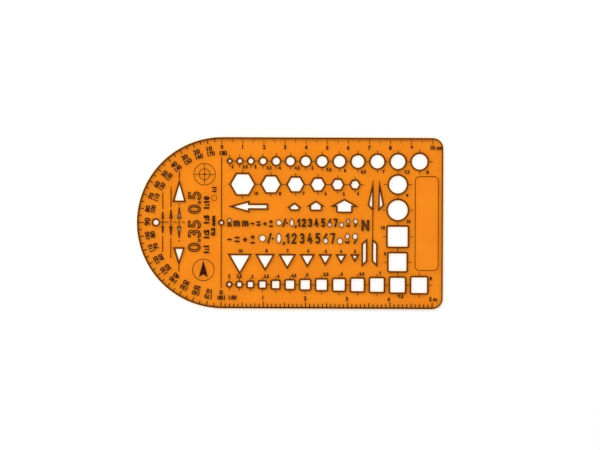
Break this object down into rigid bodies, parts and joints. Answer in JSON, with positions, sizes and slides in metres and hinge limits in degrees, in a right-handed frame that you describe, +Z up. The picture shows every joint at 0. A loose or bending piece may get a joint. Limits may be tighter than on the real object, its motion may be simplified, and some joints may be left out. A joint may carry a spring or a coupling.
{
  "type": "combination drawing template",
  "caption": "Flat transparent stencil plate with ruler edges, a protractor end, cut-out circles, squares, hexagons, triangles, arrows and lettering.",
  "frame": {"origin": "centre of the bounding box on the plane of the lower face, which lies on the paper", "axes": "+X along the length from the protractor end to the square end, +Y across the plate towards the centimetre edge, +Z up out of the printed face"},
  "size_m": [0.1452, 0.0812, 0.0012],
  "materials": {
    "amber_plastic": "clear orange-tinted acrylic sheet, smooth faces",
    "scale_ink": "dark brown screen-printed ink film"
  },
  "bodies": {
    "root": {"template_plate": "amber_plastic", "centimetre_scale": "scale_ink", "metre_scale": "scale_ink", "degree_scale": "scale_ink"}
  },
  "joints": []
}
